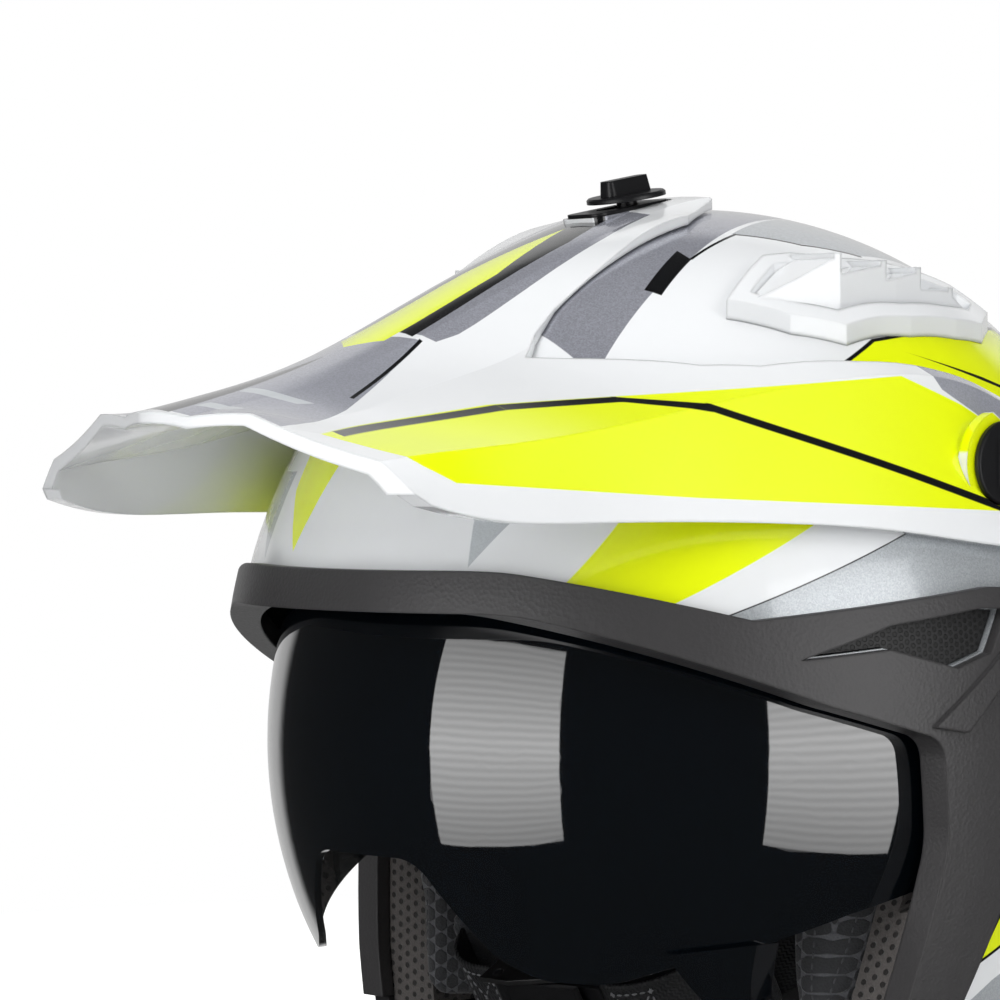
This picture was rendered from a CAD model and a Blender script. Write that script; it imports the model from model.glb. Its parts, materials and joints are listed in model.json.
"""Studio scene of an open-face dual sport helmet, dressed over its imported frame.

Every length is in metres in the row's own frame: +Z up, the face opening towards -Y and the
rider's left towards +X. Outlines of painted panels and seams are in millimetres. The helmet's
main form is the one the solids have.
"""
import json
import logging
import math
from dataclasses import dataclass
from enum import Enum
from typing import Callable, Optional, Sequence, Union

import bmesh
import bpy
from mathutils import Matrix, Vector
from mathutils.bvhtree import BVHTree


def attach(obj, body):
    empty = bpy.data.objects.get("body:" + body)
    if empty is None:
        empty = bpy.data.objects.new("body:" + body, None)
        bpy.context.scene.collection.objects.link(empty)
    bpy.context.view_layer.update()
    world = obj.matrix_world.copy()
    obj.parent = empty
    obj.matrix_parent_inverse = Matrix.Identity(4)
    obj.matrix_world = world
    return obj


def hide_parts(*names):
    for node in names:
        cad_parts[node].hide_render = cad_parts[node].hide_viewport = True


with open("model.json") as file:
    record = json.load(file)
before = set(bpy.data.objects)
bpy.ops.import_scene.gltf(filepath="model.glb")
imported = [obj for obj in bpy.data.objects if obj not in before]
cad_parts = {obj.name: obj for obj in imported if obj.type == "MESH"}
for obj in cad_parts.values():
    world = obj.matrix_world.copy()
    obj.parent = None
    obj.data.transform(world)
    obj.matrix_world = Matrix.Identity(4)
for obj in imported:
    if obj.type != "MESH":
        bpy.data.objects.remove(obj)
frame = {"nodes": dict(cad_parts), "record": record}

log = logging.getLogger("helmet")

Colour = tuple[float, float, float]
Point2 = tuple[float, float]
Point3 = tuple[float, float, float]

MM = 0.001
FULL_TURN = 2 * math.pi
SQUARE = ((-1, -1), (1, -1), (1, 1), (-1, 1))
SIDES = {"left": 1, "right": -1}
BODY = "helmet"
MERGE_DISTANCE = 0.002 * MM
FULL_LEVEL = 255
# The display curve: where its straight part ends, that part's slope, then offset and power
CURVE_KNEE, CURVE_SLOPE, CURVE_OFFSET, CURVE_POWER = 0.04045, 12.92, 0.055, 2.4


def display(red: int, green: int, blue: int) -> Colour:
    """Turns a colour as a screen shows it into the linear values a shader takes.

    Args:
        red: Red level, up to FULL_LEVEL.
        green: Green level.
        blue: Blue level.

    Returns:
        The same colour in linear light.
    """
    def linear(level: int) -> float:
        """Undoes the display curve for one level."""
        share = level / FULL_LEVEL
        return share / CURVE_SLOPE if share <= CURVE_KNEE else (
            (share + CURVE_OFFSET) / (1 + CURVE_OFFSET)) ** CURVE_POWER

    return linear(red), linear(green), linear(blue)


class Plane2(Enum):
    """Which two object coordinates a flat pattern is drawn in."""

    PLAN = "plan"
    SIDE = "side"
    FRONT = "front"


PLAN, SIDE, FRONT = Plane2


class Grain(Enum):
    """What a texture layer is made of: noise, cells, or the joints between cells."""

    NOISE = "noise"
    CELLS = "F1"
    JOINTS = "DISTANCE_TO_EDGE"


def operator(operation: str, swapped: bool = False) -> Callable[["Wire", "Value"], "Wire"]:
    """Makes an operator of wires.

    Args:
        operation: The Math node it stands for.
        swapped: Whether the other value is the node's first input.

    Returns:
        A method that adds the node and gives its result.
    """
    def apply(wire: "Wire", other: "Value") -> "Wire":
        """Adds the Math node to the wire's own tree."""
        return wire.tree.maths(operation, *((other, wire) if swapped else (wire, other)))

    return apply


class Wire:
    """A shader socket whose Python operators add the Math nodes they stand for."""

    __add__ = __radd__ = operator("ADD")
    __sub__ = operator("SUBTRACT")
    __rsub__ = operator("SUBTRACT", swapped=True)
    __mul__ = __rmul__ = operator("MULTIPLY")
    least = operator("MINIMUM")
    most = operator("MAXIMUM")

    def __init__(self, tree: "ShaderTree", socket: bpy.types.NodeSocket) -> None:
        """Keeps the socket and the tree it belongs to."""
        self.tree = tree
        self.socket = socket

    def __neg__(self) -> "Wire":
        """Changes the sign."""
        return self * -1.0

    def __abs__(self) -> "Wire":
        """Size without sign."""
        return self.tree.maths("ABSOLUTE", self)

    def clamped(self) -> "Wire":
        """The value held between 0 and 1."""
        return self.least(1.0).most(0.0)

    def spread(self, low: float, high: float) -> "Wire":
        """Runs from low where the value is 0 to high where it is 1."""
        return self * (high - low) + low

    def edge(self, softness: float) -> "Wire":
        """1 where a signed distance is positive, 0 where it is negative, softly between."""
        return (self * (1 / softness) + 0.5).clamped()


Value = Union[float, Wire]


class NodeTree:
    """A node tree with one general call that adds a node."""

    def __init__(self, tree: bpy.types.NodeTree) -> None:
        """Keeps the tree and empties it."""
        self.tree = tree
        tree.nodes.clear()

    def node(self, kind: str, settings: Optional[dict] = None,
             sockets: Optional[dict] = None) -> bpy.types.Node:
        """Adds any node.

        Args:
            kind: The node's type.
            settings: Properties of the node, set first.
            sockets: What its inputs get, by name or by number: a constant, a wire, a socket,
                or a node whose first output is meant.

        Returns:
            The new node.
        """
        made = self.tree.nodes.new(kind)
        for key, value in (settings or {}).items():
            setattr(made, key, value)
        for key, value in (sockets or {}).items():
            socket = made.inputs[key]
            if isinstance(value, bpy.types.Node):
                value = value.outputs[0]
            elif isinstance(value, Wire):
                value = value.socket
            if isinstance(value, bpy.types.NodeSocket):
                self.tree.links.new(value, socket)
            else:
                socket.default_value = (*value, 1.0) if socket.type == "RGBA" else value
        return made


class ShaderTree(NodeTree):
    """The node tree of a material or of the world."""

    WALL_FACING = -0.45
    WALL_BLEND = 0.1
    SKIN_FACING = 0.93
    SKIN_BLEND = 0.04
    EDGE_SAMPLES = 4

    def __init__(self, owner: Union[bpy.types.Material, bpy.types.World]) -> None:
        """Starts an empty tree in a new material or world."""
        owner.use_nodes = True
        super().__init__(owner.node_tree)
        self.owner = owner
        self._place: Optional[Wire] = None
        self._axes: Optional[tuple[Wire, Wire, Wire]] = None

    def out(self, node: bpy.types.Node, output: Union[int, str] = 0) -> Wire:
        """Wraps one output of a node."""
        return Wire(self, node.outputs[output])

    def maths(self, operation: str, *values: Value) -> Wire:
        """Adds a Math node on numbers or wires."""
        return self.out(self.node("ShaderNodeMath", {"operation": operation},
                                  dict(enumerate(values))))

    def vector(self, operation: str, *values: Union[Point3, Wire],
               output: Union[int, str] = 0) -> Wire:
        """Adds a Vector Math node on points or wires."""
        return self.out(self.node("ShaderNodeVectorMath", {"operation": operation},
                                  dict(enumerate(values))), output)

    def mix(self, share: Value, first: Union[Colour, Wire],
            second: Union[Colour, Wire]) -> Wire:
        """Blends two colours by a share of the second."""
        return self.out(self.node("ShaderNodeMix", {"data_type": "RGBA"},
                                  {0: share, 6: first, 7: second}), 2)

    def scaled(self, colour: Union[Colour, Wire], share: Value) -> Wire:
        """Multiplies a colour or a vector by a value."""
        return self.out(self.node("ShaderNodeVectorMath", {"operation": "SCALE"},
                                  {0: colour, "Scale": share}))

    def split(self, vector: Wire) -> tuple[Wire, Wire, Wire]:
        """A vector's or colour's three parts."""
        parts = self.node("ShaderNodeSeparateXYZ", sockets={0: vector})
        return self.out(parts, 0), self.out(parts, 1), self.out(parts, 2)

    def place(self) -> Wire:
        """Object coordinates of the shaded point."""
        if self._place is None:
            self._place = self.out(self.node("ShaderNodeTexCoord"), "Object")
        return self._place

    def axes(self) -> tuple[Wire, Wire, Wire]:
        """Object coordinates as three separate values."""
        if self._axes is None:
            self._axes = self.split(self.place())
        return self._axes

    def normal(self) -> Wire:
        """The surface's own normal."""
        return self.out(self.node("ShaderNodeNewGeometry"), "Normal")

    def noise(self, scale: float, detail: float = 2.0, roughness: float = 0.5,
              place: Optional[Wire] = None) -> Wire:
        """Smooth noise from 0 to 1.

        Args:
            scale: Repeats per metre.
            detail: Number of finer layers.
            roughness: Strength of the finer layers.
            place: Coordinates to read, the object's own unless given.

        Returns:
            The noise value.
        """
        return self.out(self.node("ShaderNodeTexNoise", {}, {
            "Vector": place or self.place(), "Scale": scale, "Detail": detail,
            "Roughness": roughness}))

    def cells(self, scale: float, feature: Grain = Grain.CELLS,
              output: str = "Distance") -> Wire:
        """Cell pattern.

        Args:
            scale: Cells per metre.
            feature: What the cell distance is measured to.
            output: Which output is read.

        Returns:
            The chosen output.
        """
        return self.out(self.node("ShaderNodeTexVoronoi", {"feature": feature.value},
                                  {"Vector": self.place(), "Scale": scale}), output)

    def plane(self, plane: Plane2, mirrored: bool = True) -> tuple[Wire, Wire]:
        """The two coordinates a flat pattern is drawn in.

        Args:
            plane: Which plane the pattern lies in.
            mirrored: Whether left and right are painted alike.

        Returns:
            The pattern's two coordinates.
        """
        x, y, z = self.axes()
        across = abs(x) if mirrored else x
        return {PLAN: (across, y), SIDE: (y, z), FRONT: (across, z)}[plane]

    def outward(self) -> Wire:
        """How far the surface faces up or away from the middle plane."""
        across, _, rise = self.split(self.normal())
        return across * self.maths("SIGN", self.axes()[0]) + rise

    def facing_out(self, centre: Point3) -> Wire:
        """A mask of the side of a wall that faces away from a point within it.

        Args:
            centre: The point, in the object's coordinates.

        Returns:
            1 on the outer side, 0 on the inner one.
        """
        away = self.vector("NORMALIZE", self.vector("SUBTRACT", self.place(), centre))
        facing = self.vector("DOT_PRODUCT", away, self.normal(), output="Value")
        return (facing - self.WALL_FACING).edge(self.WALL_BLEND)

    def inside(self, corners: Sequence[Point2], plane: Plane2,
               mirrored: bool = True) -> Wire:
        """Signed distance into a convex outline.

        Args:
            corners: The outline's corners in millimetres, anticlockwise in its plane.
            plane: The plane the outline is drawn in.
            mirrored: Whether left and right are painted alike.

        Returns:
            Distance in metres, positive inside.
        """
        u, v = self.plane(plane, mirrored)
        depth: Optional[Wire] = None
        for (u0, v0), (u1, v1) in zip(corners, list(corners[1:]) + [corners[0]]):
            run, rise = u1 - u0, v1 - v0
            length = math.hypot(run, rise)
            shift = (v0 * run - u0 * rise) / length * MM
            distance = v * (run / length) - u * (rise / length) - shift
            depth = distance if depth is None else depth.least(distance)
        return depth

    def honeycomb(self, across: Wire, along: Wire, pitch: float) -> Wire:
        """A regular hexagonal wave on two coordinates.

        Args:
            across: First coordinate in metres.
            along: Second coordinate in metres.
            pitch: Distance between neighbouring cells.

        Returns:
            3 at each cell's middle, down to -1.5 at the corners between cells.
        """
        turn = FULL_TURN / (pitch * math.cos(math.pi / 6))
        waves = [self.maths("COSINE", (across * math.cos(lean) + along * math.sin(lean)) * turn)
                 for lean in (0.0, math.pi / 3, 2 * math.pi / 3)]
        return waves[0] + waves[1] + waves[2]

    def ellipsoid_normal(self, centre: Point3, half_axes: Point3, edge_radius: float) -> Wire:
        """The exact normal of an ellipsoid's skin, with rounded edges beside it.

        Args:
            centre: Middle of the ellipsoid.
            half_axes: Its half axes.
            edge_radius: Softening where the surface isn't the ellipsoid's.

        Returns:
            The normal in world space.
        """
        slope = self.vector("MULTIPLY", self.vector("SUBTRACT", self.place(), centre),
                            tuple(1 / half ** 2 for half in half_axes))
        turned = self.node("ShaderNodeVectorTransform",
                           {"vector_type": "NORMAL", "convert_from": "OBJECT",
                            "convert_to": "WORLD"}, {0: slope})
        unit = self.vector("NORMALIZE", self.out(turned))
        facing = self.vector("DOT_PRODUCT", unit, self.normal(), output="Value")
        skin = (abs(facing) - self.SKIN_FACING).edge(self.SKIN_BLEND)
        both = self.node("ShaderNodeMix", {"data_type": "VECTOR"}, {
            0: skin, 4: self.rounded_normal(edge_radius),
            5: self.scaled(unit, self.maths("SIGN", facing))})
        return self.out(both, 1)

    def rounded_normal(self, radius: float) -> Wire:
        """Normal that softens the edges as a moulded radius would."""
        return self.out(self.node("ShaderNodeBevel", {"samples": self.EDGE_SAMPLES},
                                  {"Radius": radius}))

    def bump(self, height: Wire, depth: float, strength: float = 1.0,
             normal: Optional[Wire] = None) -> Wire:
        """Surface relief.

        Args:
            height: Relief from 0 to 1.
            depth: Height of the relief in metres.
            strength: Share of the relief that is used.
            normal: Normal to build on.

        Returns:
            The bumped normal.
        """
        sockets = {"Height": height, "Distance": depth, "Strength": strength}
        if normal is not None:
            sockets["Normal"] = normal
        return self.out(self.node("ShaderNodeBump", {}, sockets))

    def finish(self, **sockets: Union[Value, Colour]) -> bpy.types.Material:
        """Closes a material's tree with a Principled surface.

        Args:
            sockets: Inputs of the shader, with underscores for the spaces in their names.

        Returns:
            The finished material.
        """
        named = {key.replace("_", " "): value for key, value in sockets.items()}
        return self.surface(self.node("ShaderNodeBsdfPrincipled", {}, named))

    def surface(self, shader: bpy.types.Node) -> Union[bpy.types.Material, bpy.types.World]:
        """Closes the tree with a surface shader and hands its owner back."""
        kind = type(self.owner).__name__
        self.node(f"ShaderNodeOutput{kind}", sockets={"Surface": shader})
        return self.owner


_finishes: dict[str, bpy.types.Material] = {}


@dataclass(frozen=True)
class Finish:
    """A named surface finish, made once and shared by the pieces that have it."""

    name: str

    def made(self, tree: ShaderTree) -> bpy.types.Material:
        """Fills the tree; each finish does it in its own way.

        Args:
            tree: The material's empty tree.

        Returns:
            The finished material.
        """
        raise NotImplementedError

    def material(self) -> bpy.types.Material:
        """The finish's material."""
        if self.name not in _finishes:
            _finishes[self.name] = self.made(ShaderTree(bpy.data.materials.new(self.name)))
        return _finishes[self.name]


@dataclass(frozen=True)
class Layer:
    """One texture of a grained finish, with its shares of tone, roughness and relief."""

    grain: Grain
    scale: float
    detail: float = 2.0
    harshness: float = 0.5
    tone: float = 0.0
    rough: float = 0.0
    relief: float = 0.0
    stretch: Optional[Point3] = None
    joint_gain: float = 9.0

    def value(self, tree: ShaderTree) -> Wire:
        """The layer's texture.

        Args:
            tree: The material's tree.

        Returns:
            Its value at each point, from 0 to about 1.
        """
        if self.grain is Grain.NOISE:
            place = None if self.stretch is None else tree.out(tree.node(
                "ShaderNodeMapping", {}, {"Vector": tree.place(), "Scale": self.stretch}))
            return tree.noise(self.scale, self.detail, self.harshness, place)
        value = tree.cells(self.scale, self.grain)
        return value if self.grain is Grain.CELLS else (value * self.joint_gain).clamped()


@dataclass(frozen=True)
class GrainedFinish(Finish):
    """One base colour whose tone, roughness and relief come from layers of texture."""

    base: Colour
    layers: tuple[Layer, ...]
    tone: float
    rough: float
    depth: float
    strength: float
    edge_radius: float = 0.0
    constants: tuple[tuple[str, float], ...] = ()

    def made(self, tree: ShaderTree) -> bpy.types.Material:
        """Adds up the layers by their shares.

        Args:
            tree: The material's empty tree.

        Returns:
            The finished material.
        """
        values = [layer.value(tree) for layer in self.layers]

        def total(start: float, shares: Sequence[float]) -> Value:
            """A starting value and the layers' shares added to it."""
            return sum((value * share for value, share in zip(values, shares) if share), start)

        tone = total(self.tone, [layer.tone for layer in self.layers])
        rough = total(self.rough, [layer.rough for layer in self.layers])
        relief = total(0.0, [layer.relief for layer in self.layers])
        edges = tree.rounded_normal(self.edge_radius) if self.edge_radius else None
        return tree.finish(Base_Color=tree.scaled(self.base, tone), Roughness=rough,
                           Normal=tree.bump(relief, self.depth, self.strength, edges),
                           **dict(self.constants))


def moulded(name: str, base: Colour, rough: float, grain: float = 900.0,
            depth: float = 0.16 * MM, edge_radius: float = 1.0 * MM) -> GrainedFinish:
    """Moulded plastic with a fine grain and a broad drift of tone.

    Args:
        name: The finish's name.
        base: Its colour.
        rough: Its middle roughness.
        grain: Grains per metre.
        depth: Depth of the grain.
        edge_radius: Softening of the edges.

    Returns:
        The finish.
    """
    return GrainedFinish(
        name, base, (Layer(Grain.CELLS, grain, tone=0.072, rough=0.06, relief=0.6),
                     Layer(Grain.NOISE, grain * 1.7, tone=0.048, rough=0.04, relief=0.4),
                     Layer(Grain.NOISE, 14.0, detail=3.0, tone=0.18, rough=0.12)),
        tone=0.84, rough=rough - 0.1, depth=depth, strength=0.6, edge_radius=edge_radius,
        constants=(("Specular_IOR_Level", 0.45),))


def brushed(name: str, base: Colour, rough: float) -> GrainedFinish:
    """Metal with faint streaks along one way and smudges.

    Args:
        name: The finish's name.
        base: Its colour.
        rough: Its middle roughness.

    Returns:
        The finish.
    """
    return GrainedFinish(
        name, base, (Layer(Grain.NOISE, 600.0, detail=3.0, harshness=0.6, tone=0.2, rough=0.12,
                           relief=1.0, stretch=(0.06, 1.0, 1.0)),
                     Layer(Grain.NOISE, 40.0, rough=0.1)),
        tone=0.88, rough=rough - 0.1, depth=0.02 * MM, strength=0.5, edge_radius=0.4 * MM,
        constants=(("Metallic", 1.0),))


@dataclass(frozen=True)
class Panel:
    """One flat colour panel of the stripe pattern, with an ink line of a width round it."""

    plane: Plane2
    corners: tuple[Point2, ...]
    colour: Colour
    line: float = 0.0
    pearl: float = 0.0
    mirrored: bool = True
    front_only: bool = False


WHITE = display(236, 238, 240)
SIGNAL_YELLOW = display(237, 251, 2)
GRAPHITE = display(172, 174, 184)
SILVER = display(190, 195, 199)
INK = display(16, 17, 19)
WARM_GREY = display(92, 88, 86)


@dataclass(frozen=True)
class LacquerFinish(Finish):
    """Gloss lacquer over a base colour and stripe panels, with pearl in the greys."""

    base: Colour = WHITE
    panels: tuple[Panel, ...] = ()
    edge_radius: float = 1.2 * MM
    blend: float = 0.25 * MM
    outside_only: bool = False
    least_outward: float = 0.22
    middle: Optional[Point3] = None
    raw: Colour = display(34, 34, 36)
    drift: float = 9.0
    flakes: float = 2600.0
    flake_light: float = 0.3
    pearl_metal: float = 0.45
    peel: float = 260.0
    peel_depth: float = 0.02 * MM

    def made(self, tree: ShaderTree) -> bpy.types.Material:
        """Paints the panels in order over the base, under a clear coat.

        Args:
            tree: The material's empty tree.

        Returns:
            The finished material.
        """
        colour = tree.scaled(self.base, tree.noise(self.drift).spread(0.975, 1.025))
        flake = tree.split(tree.cells(self.flakes, output="Color"))[0]
        sparkle = (flake - 0.5) * self.flake_light
        skin = (tree.outward() - self.least_outward).edge(0.05) if self.outside_only else 1.0
        pearl: Value = 0.0
        for panel in self.panels:
            depth = tree.inside(panel.corners, panel.plane, panel.mirrored)
            if panel.front_only:
                depth = depth.least(-tree.axes()[1])
            if panel.line > 0:
                colour = tree.mix((depth + panel.line).edge(self.blend) * skin, colour, INK)
            mask = depth.edge(self.blend) * skin
            colour = tree.mix(mask, colour,
                              tree.scaled(panel.colour, sparkle * panel.pearl + 1.0))
            pearl = pearl * (1.0 - mask) + mask * panel.pearl
        metal = pearl * self.pearl_metal
        coat: Value = 1.0
        if self.middle is not None:
            coat = tree.facing_out(self.middle)
            colour = tree.mix(coat, self.raw, colour)
            metal = metal * coat
        normal = tree.bump(tree.noise(self.peel, 1.0), self.peel_depth, 0.5,
                           tree.rounded_normal(self.edge_radius))
        return tree.finish(Base_Color=colour, Metallic=metal,
                           Roughness=tree.noise(60.0).spread(0.2, 0.26),
                           Coat_Weight=coat, Coat_Roughness=0.04, Normal=normal)


@dataclass(frozen=True)
class SmokeFinish(Finish):
    """Dark smoked lens that lets a little light through."""

    tint: Colour = display(4, 8, 13)
    centre: Point3 = (0.0, 22 * MM, 99 * MM)
    half_axes: Point3 = (112.5 * MM, 126.5 * MM, 126.5 * MM)
    edge_radius: float = 0.5 * MM

    def made(self, tree: ShaderTree) -> bpy.types.Material:
        """Glossy lens with a faint drift of haze on its true curve.

        Args:
            tree: The material's empty tree.

        Returns:
            The finished material.
        """
        haze = tree.noise(30.0)
        normal = tree.ellipsoid_normal(self.centre, self.half_axes, self.edge_radius)
        return tree.finish(Base_Color=tree.scaled(self.tint, haze.spread(0.85, 1.15)),
                           Roughness=haze.spread(0.02, 0.04), IOR=1.58, Alpha=0.93,
                           Specular_IOR_Level=1.0, Coat_Weight=1.0, Coat_Roughness=0.02,
                           Normal=normal)


@dataclass(frozen=True)
class HoledCloth(Finish):
    """Spacer cloth with rows of round holes over a knitted ground."""

    base: Colour = WARM_GREY
    loops: float = 1500.0
    hole_pitch: float = 3.4 * MM
    hole_level: float = 1.1
    hole_blend: float = 0.8
    hole_dark: float = 0.8
    hole_depth: float = 0.7 * MM
    front_share: float = 0.85

    def hole(self, tree: ShaderTree, across: Wire) -> Wire:
        """A mask of the holes on a coordinate that runs across the cloth.

        Args:
            tree: The material's tree.
            across: The coordinate in metres.

        Returns:
            1 in a hole, 0 between them.
        """
        wave = tree.honeycomb(across, tree.axes()[2], self.hole_pitch)
        return (wave - self.hole_level).edge(self.hole_blend)

    def made(self, tree: ShaderTree) -> bpy.types.Material:
        """Holes in colour and relief over the loops.

        Args:
            tree: The material's empty tree.

        Returns:
            The finished material.
        """
        x, y, _ = tree.axes()
        hole = self.hole(tree, (abs(x) - y) * self.front_share)
        loops = tree.cells(self.loops)
        colour = tree.scaled(self.base, loops.spread(0.75, 1.15) * (1.0 - hole * self.hole_dark))
        coarse = tree.bump(1.0 - hole, self.hole_depth, 0.8)
        return tree.finish(Base_Color=colour, Roughness=loops.spread(0.75, 0.9),
                           Sheen_Weight=0.15, Normal=tree.bump(loops, 0.2 * MM, 0.6, coarse))


@dataclass(frozen=True)
class PanelledCloth(HoledCloth):
    """Cheek pad cover: holed cloth in front, a quilted panel, then brushed knit."""

    panel_cloth: Colour = display(62, 63, 66)
    knit: Colour = display(38, 39, 43)
    corner: Point2 = (97 * MM, -11 * MM)
    slant: float = 0.8
    mesh_end: float = 15 * MM
    panel_end: float = 44 * MM
    join_blend: float = 0.4 * MM
    cell_pitch: float = 5.2 * MM
    line_level: float = -0.95
    line_blend: float = 0.35
    pile: float = 600.0

    def made(self, tree: ShaderTree) -> bpy.types.Material:
        """Three cloths that follow each other round the pad's front corner.

        Args:
            tree: The material's empty tree.

        Returns:
            The finished material.
        """
        x, y, z = tree.axes()
        wrap = (y - self.corner[1]) + (self.corner[0] - abs(x)) * self.slant
        panel = (wrap - self.mesh_end).edge(self.join_blend)
        plain = (wrap - self.panel_end).edge(self.join_blend)
        hole = self.hole(tree, (abs(x) + y) * self.front_share)
        line = (self.line_level - tree.honeycomb(wrap, z, self.cell_pitch)).edge(self.line_blend)
        loops = tree.cells(self.loops)
        pile = tree.noise(self.pile, 4.0, 0.7)
        weave = loops * 0.3 + pile * 0.3 + 0.7
        mesh_ink = tree.scaled(self.base, weave * (1.0 - hole * self.hole_dark))
        panel_ink = tree.scaled(self.panel_cloth, weave * line.spread(0.75, 2.35))
        colour = tree.mix(plain, tree.mix(panel, mesh_ink, panel_ink),
                          tree.scaled(self.knit, weave))
        relief = (1.0 - hole) * (1.0 - panel) + (1.0 - line * 0.8) * panel * (1.0 - plain) \
            + plain * 0.8
        coarse = tree.bump(relief, self.hole_depth, 0.8)
        normal = tree.bump(loops * 0.5 + pile * 0.5, 0.3 * MM, 0.7, coarse)
        return tree.finish(Base_Color=colour, Roughness=pile.spread(0.78, 0.9),
                           Sheen_Weight=0.2, Sheen_Roughness=0.5, Normal=normal)


@dataclass(frozen=True)
class PerforatedFinish(Finish):
    """Fine moulded mesh: a dark plate with rows of hexagonal holes."""

    base: Colour = display(30, 30, 31)
    pitch: float = 2.1 * MM
    hole_level: float = 0.2
    hole_blend: float = 0.6
    hole_dark: float = 0.85
    hole_depth: float = 0.6 * MM

    def made(self, tree: ShaderTree) -> bpy.types.Material:
        """Holes in colour and relief, read from the side.

        Args:
            tree: The material's empty tree.

        Returns:
            The finished material.
        """
        wave = tree.honeycomb(*tree.plane(SIDE), self.pitch)
        hole = (wave - self.hole_level).edge(self.hole_blend)
        grain = tree.noise(900.0)
        colour = tree.scaled(self.base, (1.0 - hole * self.hole_dark) * grain.spread(0.85, 1.15))
        return tree.finish(Base_Color=colour, Roughness=grain.spread(0.4, 0.55),
                           Normal=tree.bump(1.0 - hole, self.hole_depth, 0.9))


@dataclass(frozen=True)
class RibbedFinish(Finish):
    """Twisted thread or woven strap: ribs along one way that may sway along another."""

    base: Colour
    ribs: Point3
    pitch: float
    tones: Point3
    rough: Point2
    depth: float
    strength: float
    fuzz: float
    sway: float = 0.0
    sway_way: Point3 = (0.0, 0.0, 0.0)
    sway_pitch: float = 1.0

    def made(self, tree: ShaderTree) -> bpy.types.Material:
        """Ribs in tone and relief with a fuzz of fibres.

        Args:
            tree: The material's empty tree.

        Returns:
            The finished material.
        """
        def angle(way: Point3, pitch: float) -> Wire:
            """The turn of a wave that runs along a direction."""
            return tree.vector("DOT_PRODUCT", tree.place(), way,
                               output="Value") * (FULL_TURN / pitch)

        turn = angle(self.ribs, self.pitch)
        if self.sway:
            turn = turn + tree.maths("SINE", angle(self.sway_way, self.sway_pitch)) * self.sway
        rib = tree.maths("SINE", turn).spread(0.5, 1.0)
        fuzz = tree.noise(self.fuzz)
        rib_tone, fuzz_tone, tone = self.tones
        colour = tree.scaled(self.base, rib * rib_tone + fuzz * fuzz_tone + tone)
        return tree.finish(Base_Color=colour, Roughness=fuzz.spread(*self.rough),
                           Normal=tree.bump(rib, self.depth, self.strength))


def thread(name: str, base: Colour) -> RibbedFinish:
    """Twisted sewing thread of a colour."""
    return RibbedFinish(name, base, ribs=(1.0, 1.0, 1.0), pitch=0.45 * MM, tones=(0.3, 0.3, 0.6),
                        rough=(0.6, 0.8), depth=0.08 * MM, strength=0.7, fuzz=2500.0)


PEAK_PANELS = (
    Panel(PLAN, ((-5, -171), (9, -171), (40, -161.5), (33, -134), (17, -95), (-5, -103)),
          GRAPHITE, pearl=0.7),
    Panel(PLAN, ((7, -163.5), (17, -159.5), (18.5, -155.5), (8, -159)), SILVER),
    Panel(PLAN, ((5.5, -147.5), (22.5, -142), (25, -138), (5, -143.5)), SILVER),
    Panel(PLAN, ((-5, -172), (8, -172), (5, -150), (1, -108), (-5, -108)), INK),
    Panel(PLAN, ((27.6, -128.4), (28.9, -128.0), (17.9, -94.5), (16.6, -94.5)), INK),
    Panel(PLAN, ((0, -97), (20.5, -92), (23.5, -76), (21.5, -54), (19, -28), (18, -8),
                        (0, -8)), GRAPHITE, pearl=0.9),
    Panel(PLAN, ((-5, -95), (17, -95), (17.3, -66), (13.8, -47), (11.3, -30),
                        (10.5, -12), (-5, -12)), INK),
    Panel(PLAN, ((-5, -111), (16.5, -95), (12, -76), (9.3, -50), (7, -32), (6.4, -12),
                        (-5, -12)), SIGNAL_YELLOW),
    Panel(SIDE, ((-156, 186), (-143, 178.3), (-136, 173), (-66, 169.8), (46, 163),
                        (46, 180), (21.5, 194.4), (3, 202.1), (-104, 194)), SIGNAL_YELLOW),
    Panel(SIDE, ((-149, 185.7), (-102, 192.6), (-102, 194), (-149, 187)), INK),
    Panel(SIDE, ((-102, 192.6), (-74, 194.8), (-74, 196.2), (-102, 194)), INK),
    Panel(SIDE, ((-75, 194.8), (-57, 192.1), (-57, 194.3), (-75, 196.2)), INK),
    Panel(SIDE, ((-58, 192.5), (46, 158.6), (46, 161), (-58, 194.6)), INK),
    Panel(SIDE, ((8, 214), (16, 198.5), (34, 187), (40, 196)), GRAPHITE, pearl=0.6),
)
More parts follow.
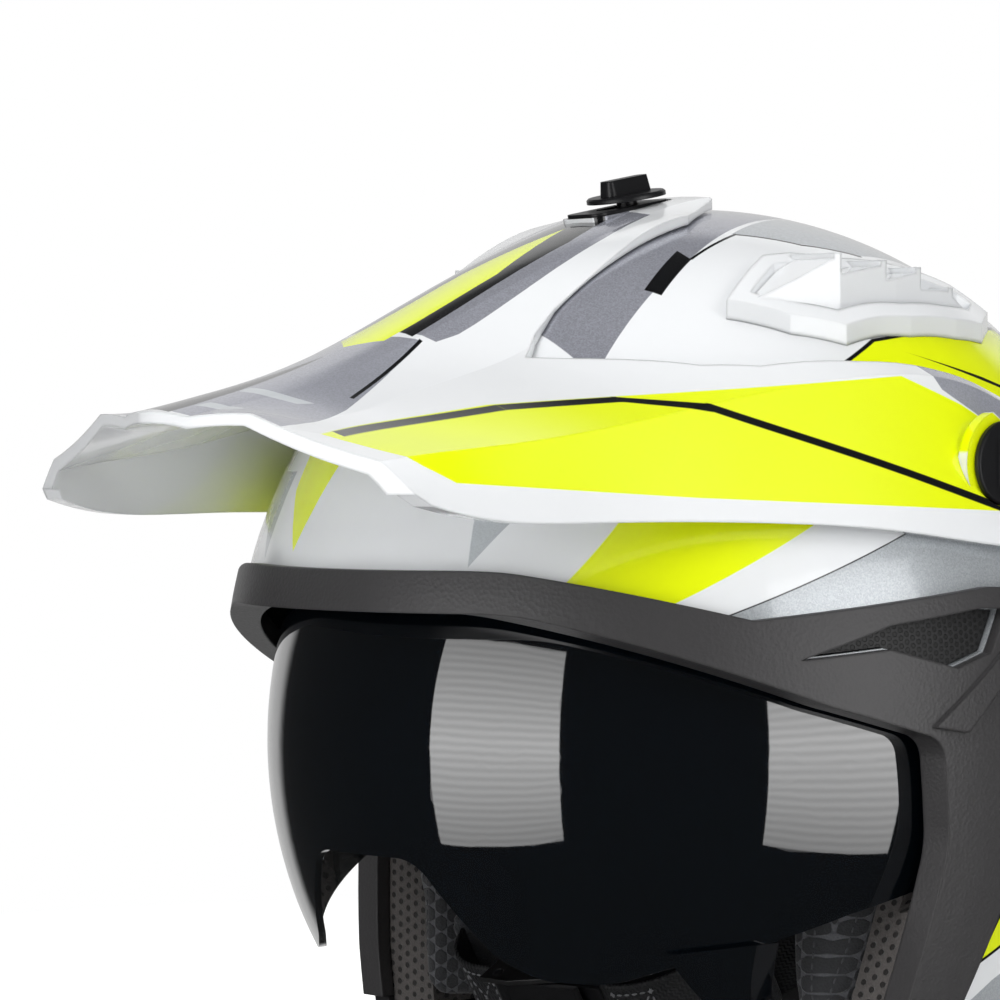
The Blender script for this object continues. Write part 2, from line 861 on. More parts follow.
SHELL_PANELS = (
    Panel(PLAN, ((-5, -64), (52, -64), (50.6, -45), (47.5, -31), (43, -17), (38.6, 4.5),
                        (26, 38), (-5, 58)), GRAPHITE, pearl=1.0),
    Panel(PLAN, ((38.4, 3), (49, 19.6), (54.4, 39), (48, 70), (30, 60), (26, 38)),
          SILVER, pearl=0.7),
    Panel(PLAN, ((43.2, -18.5), (44.1, -18.4), (39.4, 4.5), (38.5, 4.4)), INK),
    Panel(PLAN, ((38.5, 3.6), (39.3, 3.2), (50, 19.2), (49.3, 19.8)), INK),
    Panel(PLAN, ((49.2, 19.4), (50, 19), (55.2, 39), (54.3, 39.3)), INK),
    Panel(PLAN, ((37.9, -18.1), (44.6, -37.5), (49.4, -35.5), (43.8, -18.4)), INK),
    Panel(SIDE, ((-8, 203), (60, 178), (150, 160), (122, 200), (81, 216.5), (38.6, 215.3),
                        (11.4, 211.7)), SIGNAL_YELLOW, line=0.9 * MM),
    Panel(SIDE, ((10, 211.4), (48, 201.2), (150, 172), (150, 173.4), (48, 202.4)), INK),
    Panel(FRONT, ((-34.5, 190), (-33.6, 170.9), (-21, 151), (-12.6, 179), (-8, 190)),
          SIGNAL_YELLOW, mirrored=False, front_only=True),
    Panel(FRONT, ((42.6, 151.3), (54, 169), (56, 176), (39.2, 176)), SILVER, pearl=0.5,
          front_only=True),
    Panel(SIDE, ((-93, 140), (-77, 137), (-29, 163.7), (0, 180), (-60, 181),
                        (-72.4, 165.9)), SIGNAL_YELLOW),
    Panel(SIDE, ((-61, 137), (10, 96), (128, 128), (92, 150), (28, 158.3), (-3, 160.6)),
          SILVER, line=0.35 * MM, pearl=0.8),
    Panel(SIDE, ((60, 84), (150, 92), (168, 130), (140, 136)), GRAPHITE, pearl=0.8),
    Panel(SIDE, ((20, 44), (110, 88), (118, 104), (36, 73)), SIGNAL_YELLOW,
          line=0.9 * MM),
    Panel(SIDE, ((14, 30), (60, 30), (128, 70), (132, 88), (26, 38)), SILVER, pearl=0.6),
)

SHELL_PAINT = LacquerFinish("shell_lacquer", panels=SHELL_PANELS,
                            middle=(0.0, 28 * MM, 105 * MM))
PEAK_PAINT = LacquerFinish("peak_lacquer", panels=PEAK_PANELS, outside_only=True)
VENT_PAINT = LacquerFinish("vent_lacquer", edge_radius=1.4 * MM)
TRIM = moulded("trim_moulding", display(60, 59, 60), 0.38)
BLACK_NYLON = moulded("black_nylon", display(24, 24, 26), 0.34, grain=1400.0,
                      depth=0.03 * MM, edge_radius=0.7 * MM)
VENT_MESH = PerforatedFinish("vent_mesh_plastic")
SMOKE = SmokeFinish("smoked_lens")
LINER_CLOTH = GrainedFinish(
    "liner_knit", display(44, 46, 50), (
        Layer(Grain.CELLS, 1500.0, tone=0.35, relief=0.5),
        Layer(Grain.NOISE, 500.0, detail=4.0, harshness=0.7, tone=0.3, rough=0.1, relief=0.5),
        Layer(Grain.NOISE, 22.0, tone=0.2)),
    tone=0.55, rough=0.82, depth=0.35 * MM, strength=0.8,
    constants=(("Sheen_Weight", 0.25), ("Sheen_Roughness", 0.5)))
CHEEK_CLOTH = PanelledCloth("cheek_pad_cover")
CHEEK_BACK = HoledCloth("cheek_spacer_cloth")
LINER_FOAM = GrainedFinish(
    "bead_foam", display(52, 53, 56), (
        Layer(Grain.JOINTS, 320.0, tone=0.3, relief=1.0),
        Layer(Grain.NOISE, 192.0, tone=0.2, rough=0.1)),
    tone=0.55, rough=0.7, depth=0.3 * MM, strength=0.7, edge_radius=1.5 * MM)
WEBBING = RibbedFinish(
    "strap_weave", display(28, 29, 31), ribs=(0.8, 0.0, 0.6), pitch=1.1 * MM,
    tones=(0.5, 0.3, 0.5), rough=(0.6, 0.72), depth=0.25 * MM, strength=0.8, fuzz=1400.0,
    sway=1.5, sway_way=(0.0, 0.9, -0.5), sway_pitch=1.76 * MM)
THREAD = thread("sewing_thread", display(86, 87, 90))
STRAP_THREAD = thread("strap_thread", display(120, 121, 124))
STEEL = brushed("buckle_stamping", display(150, 150, 152), 0.32)
DARK_STEEL = brushed("anchor_stamping", display(96, 96, 98), 0.42)
BRASS = brushed("insert_brass_knurl", display(190, 156, 92), 0.36)
EDGE_RUBBER = GrainedFinish(
    "edge_rubber_satin", display(26, 26, 27), (
        Layer(Grain.NOISE, 700.0, detail=3.0, rough=0.08, relief=1.0),
        Layer(Grain.NOISE, 25.0, detail=3.0, tone=0.4, rough=0.15)),
    tone=0.8, rough=0.5, depth=0.05 * MM, strength=0.5, edge_radius=0.9 * MM)

NODE_FINISHES: dict[str, Finish] = {
    "outer_shell": SHELL_PAINT, "base_edge_trim": EDGE_RUBBER, "face_trim": TRIM,
    "sun_visor": SMOKE, "peak": PEAK_PAINT, "centre_slot_plate": BLACK_NYLON,
    "centre_thumb_screw": BLACK_NYLON, "peak_screw_inserts": BRASS,
    "impact_liner": LINER_FOAM, "crown_comfort_liner": LINER_CLOTH,
    "cheek_pad_snaps": BLACK_NYLON, "neck_roll": LINER_CLOTH, "strap_rivets": DARK_STEEL,
    "buckle_tray": STEEL, "toothed_tongue": BLACK_NYLON, "buckle_lever": BLACK_NYLON,
    "rear_exhaust_vent": VENT_PAINT,
}
PAIRED_FINISHES: dict[str, Finish] = {
    "side_vent_plate": VENT_MESH, "visor_pivot": BLACK_NYLON, "thumb_screw": BLACK_NYLON,
    "cheek_foam": CHEEK_BACK, "cheek_pad": LINER_CLOTH, "strap_anchor": DARK_STEEL,
    "chin_strap": WEBBING, "strap_cover": LINER_CLOTH, "crown_vent": VENT_PAINT,
}


@dataclass(frozen=True)
class Lamp:
    """A soft square lamp: its place, the point it faces, its side and its watts."""

    name: str
    place: Point3
    target: Point3
    size: float
    power: float


@dataclass(frozen=True)
class Card:
    """A bright louvred card: its place, the point it faces, its sides and its level."""

    name: str
    place: Point3
    target: Point3
    size: Point2
    level: float


@dataclass
class Studio:
    """Floor, world, lamps, reflection cards and the camera."""

    camera_place: Point3 = (0.8127, -0.7897, 0.1851)
    camera_aim: Point3 = (-0.74047, 0.67385, -0.01556)
    lens: float = 141.4
    sensor: float = 36.0
    near_clip: float = 0.05
    floor_size: float = 12.0
    floor_grey: float = 0.9
    floor_glow: float = 0.5
    fill_level: float = 0.5
    room_share: float = 0.5
    room_end: Point3 = (-0.7, 0.7, 0.1)
    room_edge: Point2 = (0.74, 0.84)
    room_levels: Point2 = (0.025, 0.62)
    shadow_reach: float = 0.26
    shadow_fade: float = 0.2
    louvre_pitch: float = 0.055
    lamps: tuple[Lamp, ...] = (
        Lamp("key", (0.5, -1.7, 1.5), (0.0, 0.0, 0.15), size=1.2, power=20.0),
        Lamp("side", (1.8, 0.4, 1.1), (0.0, 0.0, 0.15), size=1.2, power=14.0),
        Lamp("front", (0.35, -1.7, 0.12), (0.0, 0.0, 0.12), size=1.0, power=8.0),
        Lamp("top", (-0.2, 0.3, 2.0), (0.0, 0.0, 0.15), size=1.4, power=18.0))
    cards: tuple[Card, ...] = (
        Card("front_card", (0.15, -1.62, 0.105), (0.0, -0.09, 0.10), (1.2, 1.42), level=3.2),
        Card("side_card", (1.58, 0.2, 0.11), (0.1, 0.02, 0.10), (1.0, 1.36), level=3.2))

    def build(self) -> None:
        """Makes the whole studio."""
        self.add_camera()
        self.add_world()
        self.add_floor()
        for lamp in self.lamps:
            self.add_lamp(lamp)
        for card in self.cards:
            self.add_card(card)
        log.info("studio built")

    def add_camera(self) -> None:
        """Places the camera where the photograph was taken from."""
        data = bpy.data.cameras.new("photo_camera")
        data.lens = self.lens
        data.sensor_width = self.sensor
        data.clip_start = self.near_clip
        camera = linked(data, "photo_camera")
        camera.location = self.camera_place
        camera.rotation_mode = "QUATERNION"
        camera.rotation_quaternion = Vector(self.camera_aim).to_track_quat("-Z", "Y")
        bpy.context.scene.camera = camera

    def add_world(self) -> None:
        """White behind the object, a plain fill round it, and a dark room with a pale end."""
        world = bpy.data.worlds.new("studio_world")
        bpy.context.scene.world = world
        tree = ShaderTree(world)
        rays = tree.node("ShaderNodeLightPath")
        ray = tree.out(tree.node("ShaderNodeTexCoord"), "Generated")
        toward = tree.vector("DOT_PRODUCT", ray, self.room_end, output="Value")
        level = tree.node("ShaderNodeMapRange", {"interpolation_type": "SMOOTHSTEP"}, {
            "Value": toward, "From Min": self.room_edge[0], "From Max": self.room_edge[1],
            "To Min": self.room_levels[0], "To Max": self.room_levels[1]})
        fill, room, white = (
            tree.node("ShaderNodeBackground", {}, {"Color": (1.0, 1.0, 1.0), "Strength": strength})
            for strength in (self.fill_level, level, 1.0))
        mirrored = tree.out(rays, "Is Glossy Ray").most(self.room_share)
        around = tree.node("ShaderNodeMixShader", {}, {0: mirrored, 1: fill, 2: room})
        tree.surface(tree.node("ShaderNodeMixShader", {}, {
            0: self.seen(tree, rays), 1: around, 2: white}))

    @staticmethod
    def seen(tree: ShaderTree, rays: bpy.types.Node) -> Wire:
        """1 on rays that end in the camera's picture, straight or through the lens."""
        return tree.out(rays, "Is Camera Ray").most(tree.out(rays, "Is Transmission Ray"))

    def add_floor(self) -> None:
        """A plain pale floor that keeps its shadow near the object and is white far off."""
        half = self.floor_size / 2
        tree = ShaderTree(bpy.data.materials.new("floor_paper"))
        seen = self.seen(tree, tree.node("ShaderNodeLightPath"))
        x, y, _ = tree.axes()
        reach = tree.maths("SQRT", x * x + y * y)
        far = ((reach - self.shadow_reach) * (1 / self.shadow_fade)).clamped()
        lit = tree.node("ShaderNodeBsdfDiffuse", {}, {"Color": (self.floor_grey,) * 3})
        glow = tree.node("ShaderNodeEmission", {}, {"Strength": seen * self.floor_glow})
        near = tree.node("ShaderNodeAddShader", {}, {0: lit, 1: glow})
        white = tree.node("ShaderNodeEmission", {}, {"Strength": 1.0})
        both = tree.node("ShaderNodeMixShader", {}, {0: far * seen, 1: near, 2: white})
        corners = [(a * half, b * half, 0) for a, b in SQUARE]
        floor = flat_piece("studio_floor", corners, tree.surface(both))
        floor.visible_glossy = False

    def add_lamp(self, lamp: Lamp) -> None:
        """Hangs a lamp that isn't itself mirrored.

        Args:
            lamp: The lamp.
        """
        data = bpy.data.lights.new(lamp.name, "AREA")
        data.size = lamp.size
        data.energy = lamp.power
        hung = linked(data, lamp.name)
        hung.location = lamp.place
        aim = Vector(lamp.target) - Vector(lamp.place)
        hung.rotation_euler = aim.to_track_quat("-Z", "Y").to_euler()
        hung.visible_glossy = False

    def add_card(self, card: Card) -> None:
        """Stands a card up that only mirrors in glossy surfaces.

        Args:
            card: The card.
        """
        centre = Vector(card.place)
        aim = (Vector(card.target) - centre).normalized()
        right = aim.cross(Vector((0, 0, 1))).normalized()
        upward = right.cross(aim)
        width, height = card.size
        corners = [centre + right * (a * width / 2) + upward * (b * height / 2)
                   for a, b in SQUARE]
        tree = ShaderTree(bpy.data.materials.new(card.name))
        z = tree.axes()[2]
        louvre = tree.maths("SINE", z * (FULL_TURN / self.louvre_pitch)).spread(0.91, 1.0)
        middle = 1.0 - (abs(z - card.place[2]) * (1 / height))
        glow = tree.node("ShaderNodeEmission", {}, {"Strength": louvre * middle * card.level})
        stood = flat_piece(card.name, corners, tree.surface(glow))
        for ray in ("camera", "diffuse", "transmission", "volume_scatter", "shadow"):
            setattr(stood, f"visible_{ray}", False)


def linked(data: bpy.types.ID, name: str) -> bpy.types.Object:
    """Puts a mesh, lamp or camera in the scene as an object of that name."""
    piece = bpy.data.objects.new(name, data)
    bpy.context.scene.collection.objects.link(piece)
    return piece


def flat_piece(name: str, corners: Sequence[Sequence[float]],
               material: bpy.types.Material) -> bpy.types.Object:
    """A four-cornered piece of the studio.

    Args:
        name: Its name.
        corners: Its corners in order.
        material: Its material.

    Returns:
        The piece, in the scene.
    """
    mesh = bpy.data.meshes.new(name)
    mesh.from_pydata(corners, [], [(0, 1, 2, 3)])
    mesh.materials.append(material)
    return linked(mesh, name)


def settled(piece: bpy.types.Object) -> bpy.types.Object:
    """Turns a piece with live modifiers into a plain mesh.

    Args:
        piece: The piece.

    Returns:
        The same piece, with its modifiers' result as its mesh.
    """
    graph = bpy.context.evaluated_depsgraph_get()
    mesh = bpy.data.meshes.new_from_object(piece.evaluated_get(graph), depsgraph=graph)
    piece.modifiers.clear()
    piece.data = mesh
    mesh.name = piece.name
    return piece


def solid_copy(node: str) -> bmesh.types.BMesh:
    """A copy of a carried-over node's mesh with its doubled points merged.

    Args:
        node: The node's name.

    Returns:
        The copy.
    """
    shape = bmesh.new()
    shape.from_mesh(frame["nodes"][node].data)
    bmesh.ops.remove_doubles(shape, verts=shape.verts, dist=MERGE_DISTANCE)
    return shape


def declared(piece: bpy.types.Object) -> None:
    """Shades a piece smooth and says which body it rides and which slot it fills."""
    piece.data.polygons.foreach_set("use_smooth", [True] * len(piece.data.polygons))
    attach(piece, BODY)


class GeometryTree(NodeTree):
    """A geometry node group with named inputs, used as a modifier."""

    def __init__(self, name: str, sizes: dict[str, float], material: bpy.types.Material) -> None:
        """Makes the group's inputs for its sizes and its material.

        Args:
            name: The group's name.
            sizes: Its sizes by name.
            material: What the result is made of.
        """
        group = bpy.data.node_groups.new(name, "GeometryNodeTree")
        super().__init__(group)
        ports = group.interface
        for way in ("INPUT", "OUTPUT"):
            ports.new_socket("Geometry", in_out=way, socket_type="NodeSocketGeometry")
        self.values: dict[str, Union[float, bpy.types.Material]] = {}
        for label, size in sizes.items():
            port = ports.new_socket(label, in_out="INPUT", socket_type="NodeSocketFloat")
            self.values[port.identifier] = size
        port = ports.new_socket("Material", in_out="INPUT", socket_type="NodeSocketMaterial")
        self.values[port.identifier] = material
        self.inputs = self.node("NodeGroupInput").outputs

    def close(self, result: bpy.types.Node) -> None:
        """Makes the instances real and gives them the material."""
        real = self.node("GeometryNodeRealizeInstances", sockets={0: result})
        painted = self.node("GeometryNodeSetMaterial", sockets={
            "Geometry": real, "Material": self.inputs["Material"]})
        self.node("NodeGroupOutput", sockets={0: painted})

    def mesh(self, path: bpy.types.Mesh, name: str) -> bpy.types.Object:
        """Runs the group on a mesh and keeps the result as a plain mesh.

        Args:
            path: The mesh that the group starts from.
            name: The new piece's name.

        Returns:
            The piece, with no modifier left on it.
        """
        carrier = linked(path, name)
        modifier = carrier.modifiers.new("nodes", "NODES")
        modifier.node_group = self.tree
        for identifier, value in self.values.items():
            modifier[identifier] = value
        return settled(carrier)


@dataclass(frozen=True)
class Stitch:
    """A row of stitches: its pitch, a stitch's length and the thread's radius."""

    finish: Finish = THREAD
    pitch: float = 3.0 * MM
    length: float = 2.0 * MM
    radius: float = 0.32 * MM

    def tree(self, name: str) -> GeometryTree:
        """Node group that lays stitches along every edge path of a mesh.

        Args:
            name: The group's name.

        Returns:
            The ready group.
        """
        tree = GeometryTree(name, {"Pitch": self.pitch, "Length": self.length,
                                   "Radius": self.radius}, self.finish.material())
        sizes = tree.inputs
        path = tree.node("GeometryNodeMeshToCurve", sockets={0: sizes["Geometry"]})
        points = tree.node("GeometryNodeCurveToPoints", {"mode": "LENGTH"},
                           {"Curve": path, "Length": sizes["Pitch"]})
        lean = tree.node("FunctionNodeAlignRotationToVector", {"axis": "X"},
                         {"Vector": points.outputs["Tangent"]})
        bead = tree.node("GeometryNodeMeshIcoSphere", sockets={"Radius": 0.5, "Subdivisions": 2})
        thick = tree.node("ShaderNodeMath", {"operation": "MULTIPLY"},
                          {0: sizes["Radius"], 1: 2.0})
        extent = tree.node("ShaderNodeCombineXYZ", sockets={0: sizes["Length"], 1: thick,
                                                            2: thick})
        tree.close(tree.node("GeometryNodeInstanceOnPoints", sockets={
            "Points": points, "Instance": bead, "Rotation": lean, "Scale": extent}))
        return tree

    def sew(self, lines: bmesh.types.BMesh, node: str) -> None:
        """Sews along the edges of a wire mesh, and frees it.

        Args:
            lines: The paths.
            node: The piece that is sewn.
        """
        if lines.edges:
            path = bpy.data.meshes.new(f"{node}_path")
            lines.to_mesh(path)
            declared(self.tree(f"{node}_stitches").mesh(path, f"{node}_thread"))
        lines.free()


SEAM_STITCH = Stitch()
STRAP_STITCH = Stitch(STRAP_THREAD, pitch=2.4 * MM, length=1.8 * MM, radius=0.3 * MM)


@dataclass(frozen=True)
class Seam:
    """A sewn line where a flat cut crosses a padded piece; its place is in millimetres."""

    place: Point3
    facing: Point3
    width: float = 2.6 * MM
    depth: float = 1.5 * MM
    stitched: bool = True
    stitch_share: float = 0.8

    def plane(self) -> tuple[Vector, Vector]:
        """A point on the cut in metres and the cut's unit normal."""
        return Vector(self.place) * MM, Vector(self.facing).normalized()


@dataclass
class Cushion:
    """A padded piece blown up in the space of its solid, then sewn."""

    node: str
    finish: Finish
    fill: float
    voxel: float = 4.0 * MM
    inset: float = 1.4 * MM
    pressure: float = 4.0
    cap: float = 6.0 * MM
    proud: float = 0.5 * MM
    evening: int = 6
    evening_share: float = 0.5
    seams: tuple[Seam, ...] = ()
    frames: int = 20

    def build(self) -> None:
        slot = slot_of(self.node)
        solid = solid_copy(self.node)
        pad = self.remeshed(solid)
        self.blow_up(pad)
        self.hold(pad, BVHTree.FromBMesh(solid))
        solid.free()
        pad.modifiers.new("round", "SUBSURF")
        settled(pad)
        self.pull_in(pad)
        pad.data.materials.clear()
        pad.data.materials.append(self.finish.material())
        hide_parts(self.node)
        declared(pad)
        SEAM_STITCH.sew(self.seam_lines(pad), self.node)
        log.info("padded %s", self.node)

    def remeshed(self, solid: bmesh.types.BMesh) -> bpy.types.Object:
        """An even, slightly smaller skin of the solid.

        Args:
            solid: The solid's merged mesh.

        Returns:
            The skin, in the scene.
        """
        mesh = bpy.data.meshes.new(f"{self.node}_skin")
        solid.to_mesh(mesh)
        pad = linked(mesh, f"{self.node}_cloth")
        even = pad.modifiers.new("even", "REMESH")
        even.mode = "VOXEL"
        even.voxel_size = self.voxel
        ease = pad.modifiers.new("ease", "SMOOTH")
        ease.factor = self.evening_share
        ease.iterations = self.evening
        settled(pad)
        normals = [v.normal.copy() for v in pad.data.vertices]
        for vertex, normal in zip(pad.data.vertices, normals):
            vertex.co -= normal * self.inset
        return pad

    def blow_up(self, pad: bpy.types.Object) -> None:
        """Runs the cloth under pressure and keeps a capped share of its travel.

        Args:
            pad: The skin, moved in place.
        """
        cloth = pad.modifiers.new("cloth", "CLOTH")
        cloth.settings.use_pressure = True
        cloth.settings.uniform_pressure_force = self.pressure
        cloth.settings.effector_weights.gravity = 0.0
        cloth.point_cache.frame_start = 1
        cloth.point_cache.frame_end = self.frames
        scene = bpy.context.scene
        for step in range(1, self.frames + 1):
            scene.frame_set(step)
        graph = bpy.context.evaluated_depsgraph_get()
        blown = [v.co.copy() for v in pad.evaluated_get(graph).data.vertices]
        pad.modifiers.clear()
        scene.frame_set(1)
        for vertex, goal in zip(pad.data.vertices, blown):
            travel = goal - vertex.co
            if travel.length > self.cap:
                travel *= self.cap / travel.length
            vertex.co += travel

    def hold(self, pad: bpy.types.Object, solid: BVHTree) -> None:
        """Keeps every point within the solid's space, but for a little.

        Args:
            pad: The skin, moved in place.
            solid: The solid's faces.
        """
        for vertex in pad.data.vertices:
            near, normal, _, _ = solid.find_nearest(vertex.co)
            if (vertex.co - near).dot(normal) > self.proud:
                vertex.co = near + normal * self.proud

    def pull_in(self, pad: bpy.types.Object) -> None:
        """Pulls the skin in along each seam.

        Args:
            pad: The skin, moved in place.
        """
        normals = [v.normal.copy() for v in pad.data.vertices]
        cuts = [(*seam.plane(), seam) for seam in self.seams]
        for vertex, normal in zip(pad.data.vertices, normals):
            sunk = 0.0
            for place, facing, seam in cuts:
                share = abs((vertex.co - place).dot(facing)) / seam.width
                if share < 1.0:
                    sunk = max(sunk, seam.depth * (1.0 - share * share) ** 2)
            vertex.co -= normal * sunk

    def seam_lines(self, pad: bpy.types.Object) -> bmesh.types.BMesh:
        """Paths on the skin on both sides of each stitched seam.

        Args:
            pad: The finished skin.

        Returns:
            A wire mesh of the paths.
        """
        lines = bmesh.new()
        for seam in (s for s in self.seams if s.stitched):
            place, facing = seam.plane()
            for side in (-1, 1):
                cut = bmesh.new()
                cut.from_mesh(pad.data)
                found = bmesh.ops.bisect_plane(
                    cut, geom=cut.verts[:] + cut.edges[:] + cut.faces[:], plane_no=facing,
                    plane_co=place + facing * (side * seam.width * seam.stitch_share))
                edges = [e for e in found["geom_cut"] if isinstance(e, bmesh.types.BMEdge)]
                kept: dict[bmesh.types.BMVert, bmesh.types.BMVert] = {}
                for edge in edges:
                    for corner in edge.verts:
                        if corner not in kept:
                            kept[corner] = lines.verts.new(corner.co)
                    lines.edges.new([kept[corner] for corner in edge.verts])
                cut.free()
        return lines


@dataclass
class Strap:
    """One side of the chin strap, a woven band on the route its solid follows.

    The route and the band's section are in millimetres in the strap's own tilted plane.
    """

    node: str
    side: int
    buckle_end: float
    centre: Point3 = (0.0, -29 * MM, 24 * MM)
    tilt: float = math.radians(30)
    anchor: Point2 = (115.0, 75.2)
    turn: Point2 = (62.0, 40.0)
    low: Point2 = (40.0, 0.0)
    radii: Point2 = (40.0, 22.0)
    step: float = 1.2
    section: tuple[Point2, ...] = (
        (-11.0, 0.0), (-10.85, 0.55), (-10.3, 0.85), (-9.6, 0.72), (-9.1, 0.6), (-5.0, 0.66),
        (0.0, 0.68), (5.0, 0.66), (9.1, 0.6), (9.6, 0.72), (10.3, 0.85), (10.85, 0.55),
        (11.0, 0.0), (10.85, -0.55), (10.3, -0.85), (9.6, -0.72), (9.1, -0.6), (0.0, -0.68),
        (-9.1, -0.6), (-9.6, -0.72), (-10.3, -0.85), (-10.85, -0.55))
    stitch_box: tuple[Point2, ...] = ((4.0, -8.0), (16.0, -8.0), (16.0, 8.0), (4.0, 8.0))
    stitch_runs: tuple[tuple[int, int], ...] = ((0, 1), (1, 2), (2, 3), (3, 0), (0, 2), (1, 3))
    stitch_steps: int = 8
    stitch_lift: float = 0.72

    def build(self) -> None:
        slot = slot_of(self.node)
        route = self.route()
        strap = linked(self.band(route), f"{self.node}_webbing")
        strap.data.materials.append(WEBBING.material())
        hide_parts(self.node)
        declared(strap)
        STRAP_STITCH.sew(self.box_lines(route), self.node)
        log.info("swept %s", self.node)

    def band(self, route: Sequence[tuple[Vector, Vector]]) -> bpy.types.Mesh:
        """The section swept along the route, with closed ends.

        Args:
            route: The route's points, each with its direction.

        Returns:
            The band's mesh.
        """
        rows, faces = [], []
        count = len(self.section)
        for index, (spot, run) in enumerate(route):
            start = self.in_space(spot)
            side = self.in_space(spot + Vector((-run.y, run.x))) - start
            across = self.in_space(spot, 1.0) - start
            rows += [start + across * w + side * t for w, t in self.section]
            if index:
                low, high = (index - 1) * count, index * count
                faces += [(low + k, low + (k + 1) % count, high + (k + 1) % count, high + k)
                          for k in range(count)]
        faces.append(tuple(range(count)))
        faces.append(tuple(range(len(rows) - 1, len(rows) - 1 - count, -1)))
        mesh = bpy.data.meshes.new(f"{self.node}_band")
        mesh.from_pydata(rows, [], faces)
        shape = bmesh.new()
        shape.from_mesh(mesh)
        bmesh.ops.recalc_face_normals(shape, faces=shape.faces)
        shape.to_mesh(mesh)
        shape.free()
        return mesh

    def in_space(self, spot: Vector, across: float = 0.0) -> Vector:
        """A point of the strap's own plane, brought into the row's frame.

        Args:
            spot: The point in the plane.
            across: How far it stands off the plane.

        Returns:
            The point in metres.
        """
        up = Vector((0, math.cos(self.tilt), math.sin(self.tilt)))
        normal = Vector((0, -up.z, up.y))
        return (Vector(self.centre) + Vector((self.side * spot.x * MM, 0, 0))
                + up * (spot.y * MM) + normal * (across * MM))

    def route(self) -> list[tuple[Vector, Vector]]:
        """Even stations along the runs and the two arcs.

        Returns:
            Each station with its direction.
        """
        corners = [Vector(p) for p in (self.anchor, self.turn, self.low, (self.buckle_end, 0.0))]
        spots = [corners[0]]
        for before, corner, after, radius in zip(corners, corners[1:], corners[2:], self.radii):
            back, ahead = (before - corner).normalized(), (after - corner).normalized()
            half = math.acos(max(-1.0, min(1.0, back.dot(ahead)))) / 2
            middle = corner + (back + ahead).normalized() * (radius / math.sin(half))
            first = corner + back * (radius / math.tan(half)) - middle
            last = corner + ahead * (radius / math.tan(half)) - middle
            swing = first.angle_signed(last)
            pieces = max(2, round(abs(swing) * radius / self.step))
            spots += [middle + Matrix.Rotation(-swing * k / pieces, 2) @ first
                      for k in range(pieces + 1)]
        spots.append(corners[-1])
        runs = [(b - a).normalized() for a, b in zip(spots, spots[1:])]
        return list(zip(spots, runs + runs[-1:]))

    @staticmethod
    def station(route: Sequence[tuple[Vector, Vector]], back: float) -> tuple[Vector, Vector]:
        """A station a length back from the strap's buckle end.

        Args:
            route: The route's points, each with its direction.
            back: The length.

        Returns:
            The station's point and direction.
        """
        for (spot, run), (before, _) in zip(route[::-1], route[-2::-1]):
            gap = (before - spot).length
            if back <= gap:
                return spot.lerp(before, back / gap), run
            back -= gap
        return route[0]

    def box_lines(self, route: Sequence[tuple[Vector, Vector]]) -> bmesh.types.BMesh:
        """A box with a cross where the webbing is doubled next to the buckle.

        Args:
            route: The route's points, each with its direction.

        Returns:
            A wire mesh of the paths on both faces.
        """
        corners = [Vector(p) for p in self.stitch_box]
        lines = bmesh.new()
        for face in (-1, 1):
            for start, end in self.stitch_runs:
                row = []
                for k in range(self.stitch_steps + 1):
                    back, across = corners[start].lerp(corners[end], k / self.stitch_steps)
                    spot, run = self.station(route, back)
                    lift = Vector((-run.y, run.x)) * (self.stitch_lift * face)
                    row.append(lines.verts.new(self.in_space(spot + lift, across)))
                for first, last in zip(row, row[1:]):
                    lines.edges.new((first, last))
        return lines


def slot_of(node: str) -> str:
    """The material slot that the record gives a node."""
    return next(part["material_slot"] for part in frame["record"]["subparts"]
                if part["node"] == node)


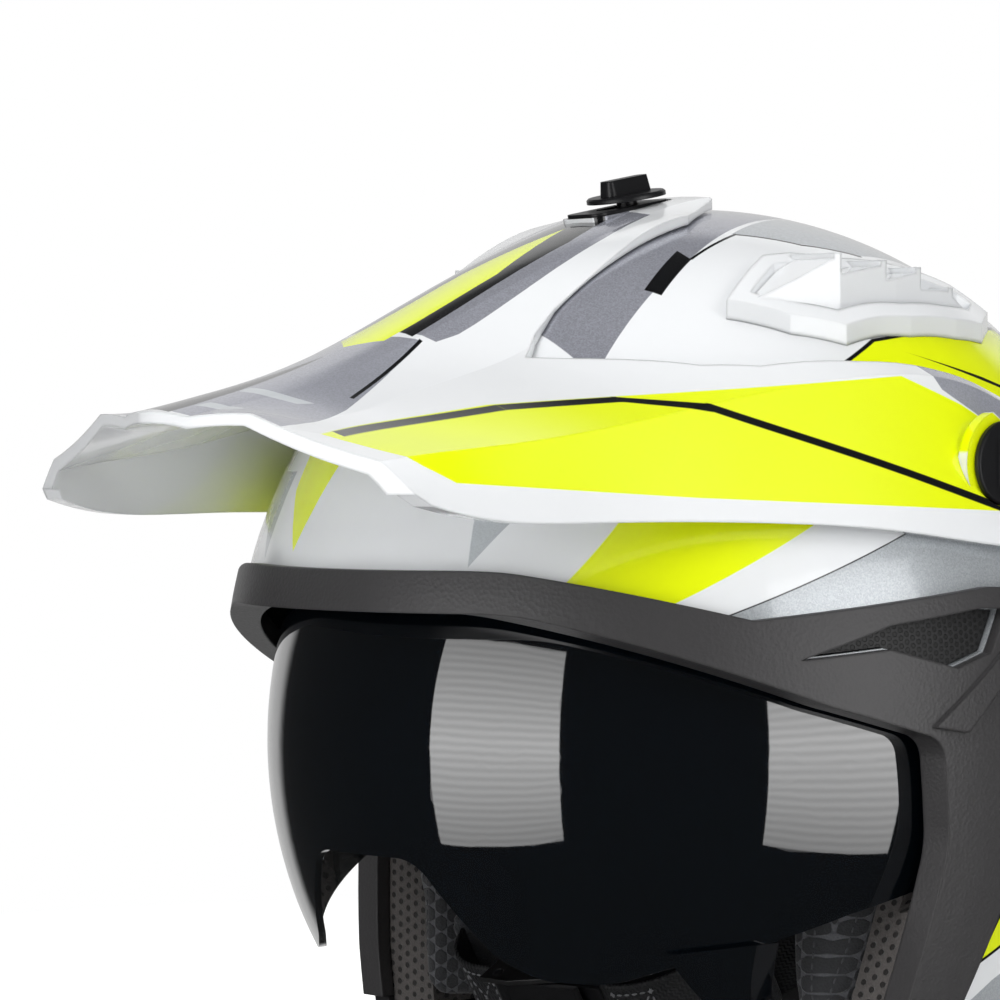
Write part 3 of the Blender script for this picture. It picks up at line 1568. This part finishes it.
@dataclass
class Upholstery:
    """All the padded pieces and the chin strap; seams are placed in millimetres."""

    cheek_corner: Point2 = (97.0, -11.0)
    cheek_slant: float = 0.8
    cheek_runs: tuple[float, ...] = (15.0, 44.0)
    cheek_middle: float = 50.0
    cover_seam: Point3 = (52.0, -34.0, 35.0)
    cover_facing: Point3 = (0.0, -0.5, 0.866)
    roll_middle: Point3 = (0.0, 28.0, 27.0)
    roll_channels: tuple[float, ...] = (0, 34, -34, 62, -62)
    roll_seam_height: float = 31.5
    crown_seams: tuple[Seam, ...] = (Seam((0.0, -42.0, 150.0), (0.0, 1.0, 0.25)),
                                     Seam((0.0, 96.0, 150.0), (0.0, 1.0, -0.2)))
    buckle_ends: Point2 = (24.3, 18.3)

    def build(self) -> None:
        """Builds every soft piece."""
        for name, side in SIDES.items():
            Cushion(f"{name}_cheek_pad", CHEEK_CLOTH, fill=0.75,
                    seams=self.cheek_lines(side)).build()
            Cushion(f"{name}_strap_cover", LINER_CLOTH, fill=0.5, voxel=2.2 * MM,
                    inset=0.5 * MM, pressure=2.0, cap=2.0 * MM,
                    seams=self.cover_lines(side)).build()
        Cushion("neck_roll", LINER_CLOTH, fill=0.8, voxel=4.5 * MM,
                seams=self.roll_lines()).build()
        Cushion("crown_comfort_liner", LINER_CLOTH, fill=0.4, voxel=3.2 * MM, inset=0.2 * MM,
                evening=10, pressure=3.0, cap=3.0 * MM, seams=self.crown_seams).build()
        for (name, side), buckle_end in zip(SIDES.items(), self.buckle_ends):
            Strap(f"{name}_chin_strap", side, buckle_end).build()

    def cheek_lines(self, side: int) -> tuple[Seam, ...]:
        """The seams between a cheek pad's three cloths.

        Args:
            side: 1 on the left, -1 on the right.

        Returns:
            The seams.
        """
        x, y = self.cheek_corner
        facing = (-side * self.cheek_slant, 1.0, 0.0)
        return tuple(Seam((side * x, y + run, self.cheek_middle), facing)
                     for run in self.cheek_runs)

    def cover_lines(self, side: int) -> tuple[Seam, ...]:
        """The plain channel along the strap cover of a side, 1 for left and -1 for right."""
        x, y, z = self.cover_seam
        return (Seam((side * x, y, z), self.cover_facing, width=1.6 * MM, depth=0.7 * MM,
                     stitched=False),)

    def roll_lines(self) -> tuple[Seam, ...]:
        """The neck roll's cross channels and its lengthwise seam.

        Returns:
            The seams.
        """
        x, y, _ = self.roll_middle
        angles = [math.radians(turn) for turn in self.roll_channels]
        cross = tuple(Seam(self.roll_middle, (math.cos(angle), math.sin(angle), 0.0),
                           width=3.0 * MM, depth=1.4 * MM, stitched=False) for angle in angles)
        return cross + (Seam((x, y, self.roll_seam_height), (0.0, 0.0, 1.0), width=2.2 * MM,
                             depth=1.0 * MM),)


def dress_frame() -> None:
    """Gives every carried-over node its finish."""
    paired = {f"{side}_{name}": finish for name, finish in PAIRED_FINISHES.items()
              for side in SIDES}
    for name, finish in (NODE_FINISHES | paired).items():
        node = frame["nodes"][name]
        node.data.materials.clear()
        node.data.materials.append(finish.material())
        log.info("dressed %s", name)


def main() -> None:
    """Builds the studio and dresses the helmet."""
    logging.basicConfig(level=logging.INFO, format="%(message)s")
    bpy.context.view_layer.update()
    scene = bpy.context.scene
    scene.view_settings.view_transform = "Standard"
    Studio().build()
    dress_frame()
    Upholstery().build()


if __name__ == "__main__":
    main()
